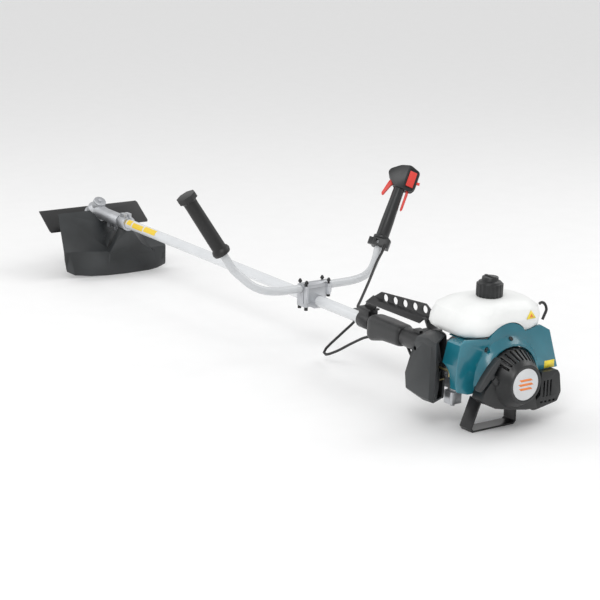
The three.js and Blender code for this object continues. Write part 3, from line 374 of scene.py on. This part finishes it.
# For each patch: from and to, in millimetres along the tube, and between which degrees above its left side.
STICKER_PATCHES = [(1440, 1500, 5, 75), (1506, 1560, -5, 60), (1566, 1590, 10, 80), (1596, 1630, 0, 65)]
STICKER_REACH = TUBE_RADIUS + 0.15
STICKER_STEPS = 8


def curved_patch(shape, near, far, low, high):
    rows = []
    for x in (near, far):
        row = []
        for i in range(STICKER_STEPS + 1):
            angle = math.radians(low + (high - low) * i / STICKER_STEPS)
            corner = (x, STICKER_REACH * math.cos(angle), STICKER_REACH * math.sin(angle))
            row.append(shape.verts.new(corner))
        rows.append(row)
    for i in range(STICKER_STEPS):
        shape.faces.new((rows[0][i], rows[0][i + 1], rows[1][i + 1], rows[1][i]))


def add_tube_sticker():
    """Plain yellow patches lying on the upper left of the tube, with white between them."""
    for number, patch in enumerate(STICKER_PATCHES, start=1):
        name = f"tube_sticker_{number}"
        piece(name, mesh_from(name, curved_patch, *patch), YELLOW)


# Corners in millimetres of the machine's frame.
REARWARD = (-1, 0, 0)
TANK_FACES = (-0.99, 0, 0.16)
COVER_LABEL = [(60, -102, 1), (60, -129, 1), (60, -129, 17), (60, -102, 17)]
TANK_LABEL = [(56.6, -43, 114), (57.0, -68, 114), (59.2, -55.5, 131)]
TANK_MARK = [(56.8, -51, 117), (57.0, -60, 117), (58.2, -55.5, 125)]


def film(name, corners, lift, material, thickness):
    """A flat film on its corners, raised along lift."""
    out = Vector(lift).normalized()
    back = [Vector(corner) for corner in corners]
    front = [corner + out * thickness for corner in back]
    piece(name, mesh_from(name, slab, front, back), material)


def add_labels():
    """Plain films, with no lettering, where the machine carries its labels."""
    film("cover_label", COVER_LABEL, REARWARD, YELLOW, thickness=0.3)
    film("tank_label", TANK_LABEL, TANK_FACES, YELLOW, thickness=0.9)
    film("tank_label_mark", TANK_MARK, TANK_FACES, ORANGE, thickness=1.1)


# ---- Starter rope ----

ROPE_RISE = math.radians(40)  # the rope runs to the left, this far above level
ROPE_X = 28
PULLEY_RADIUS = 29.5
ROPE_LENGTH = 60.7
ROPE_RADIUS = 1.75
ROPE_SIDES = 10
ROPE_STEPS = 60
TWIST_PER_STEP = 0.12  # radians
ROPE_WAY = Vector((0, math.cos(ROPE_RISE), math.sin(ROPE_RISE)))
ROPE_START = Vector((ROPE_X, PULLEY_RADIUS * math.sin(ROPE_RISE), -PULLEY_RADIUS * math.cos(ROPE_RISE)))


def twisted_rope(shape):
    sideways = Vector((1, 0, 0))
    across = ROPE_WAY.cross(sideways)
    rings = []
    for step in range(ROPE_STEPS + 1):
        middle = ROPE_START + ROPE_WAY * (ROPE_LENGTH * step / ROPE_STEPS)
        ring = []
        for i in range(ROPE_SIDES):
            angle = 2 * math.pi * i / ROPE_SIDES + step * TWIST_PER_STEP
            outward = sideways * math.cos(angle) + across * math.sin(angle)
            ring.append(shape.verts.new(middle + ROPE_RADIUS * outward))
        rings.append(ring)
    skin(shape, rings)


def add_starter_rope():
    """The rope from the pulley's side to the handle."""
    mesh = mesh_from("starter_rope_look", twisted_rope)
    rope = bpy.data.objects.new("starter_rope_look", mesh)
    bpy.context.collection.objects.link(rope)
    mesh.materials.append(FINISHES["rope"])
    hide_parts("starter_rope")
    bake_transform(rope)


# ---- Hip pad ----

PAD_CELL = 0.0025  # metres
PAD_SOFTENING = 0.6
PAD_PASSES = 10


def add_hip_pad():
    """A stuffed pad: the node's form remeshed and softened."""
    pad = stand_in("hip_pad", mesh_again("hip_pad"))
    cells = pad.modifiers.new("cells", "REMESH")
    cells.mode = "VOXEL"
    cells.voxel_size = PAD_CELL
    cells.use_smooth_shade = True
    soft = pad.modifiers.new("soft", "SMOOTH")
    soft.factor = PAD_SOFTENING
    soft.iterations = PAD_PASSES


# ---- Surroundings ----

FLOOR_SIZE = 60
FLOOR_DARK = (0.93, 0.93, 0.93)
FLOOR_LIGHT = (0.94, 0.94, 0.94)
SKY_COLOUR = (1, 1, 1, 1)
SKY_STRENGTH = 0.78
LAMP_AIM = Vector((0.8, 0, 0.15))
# For each lamp: name, place and size in metres, and power in watts.
LAMPS = [
    ("key", (-1.6, 2.0, 2.8), 1.6, 38),
    ("fill", (2.4, 2.0, 2.2), 2.0, 16),
    ("rim", (0.2, -2.4, 2.4), 1.6, 16),
]


def add_studio():
    bpy.ops.mesh.primitive_plane_add(size=FLOOR_SIZE)
    floor = bpy.context.object
    floor.name = "floor"
    floor.data.materials.append(surface("floor", FLOOR_DARK, FLOOR_LIGHT, 0.9, bump=0.0))
    world = bpy.data.worlds.new("studio")
    world.use_nodes = True
    set_inputs(world.node_tree.nodes["Background"], {"Color": SKY_COLOUR, "Strength": SKY_STRENGTH})
    bpy.context.scene.world = world
    bpy.context.scene.view_settings.view_transform = "Standard"
    for name, place, size, power in LAMPS:
        lamp = bpy.data.objects.new(name, bpy.data.lights.new(name, "AREA"))
        lamp.data.size = size
        lamp.data.energy = power
        lamp.location = place
        lamp.rotation_euler = (LAMP_AIM - Vector(place)).to_track_quat("-Z", "Y").to_euler()
        bpy.context.collection.objects.link(lamp)


# ---- The whole machine ----

# How far each node's edges are rounded, in millimetres.
EDGES = {
    "guard": 1.2, "gear_case": 1.6, "gear_case_cap": 0.8, "control_grip": 1.5, "air_filter_cover": 2.0,
    "engine_cover": 1.6, "fuel_cap": 0.9, "muffler_cover": 1.5, "starter_housing": 0.8, "clutch_housing": 1.5,
    "starter_handle": 2.2, "engine_stand": 0.8, "clamp_lower": 1.2, "clamp_middle": 1.2, "clamp_cap": 1.2,
    "fuel_tank": 2.5, "throttle_trigger": 1.0, "lockout_lever": 0.8, "stop_switch": 0.6, "crankcase": 1.0,
    "float_bowl": 0.8, "carburettor": 0.8, "blade": 0.4, "hanger_bracket": 0.5, "left_grip": 0.8,
    "blade_holder": 0.4,
    **{f"clamp_bolt_{number}": 0.5 for number in range(1, 5)},
    "guard_bracket": 0.6, "bracket_collar": 0.5, "cable_clip": 0.4, "choke_lever": 0.4,
}
ROUND_NODES = ("main_tube", "handlebar", "throttle_cable", "tank_vent_hose", "output_shaft")

add_camera()
for node_name, node_object in frame["nodes"].items():
    node_object.data.materials.clear()
    node_object.data.materials.append(FINISHES[SLOT_OF[node_name]])
for node_name, edge_size in EDGES.items():
    dressed(node_name, edge_size)
for node_name in ROUND_NODES:
    smoothed(node_name)
add_hip_pad()
add_badge()
add_tube_sticker()
add_labels()
add_starter_rope()
screw("cover_screw", centre=(54.4, -2.4, 80.6), axis=(-0.67, -0.1, 0.74), radius=5)
add_studio()
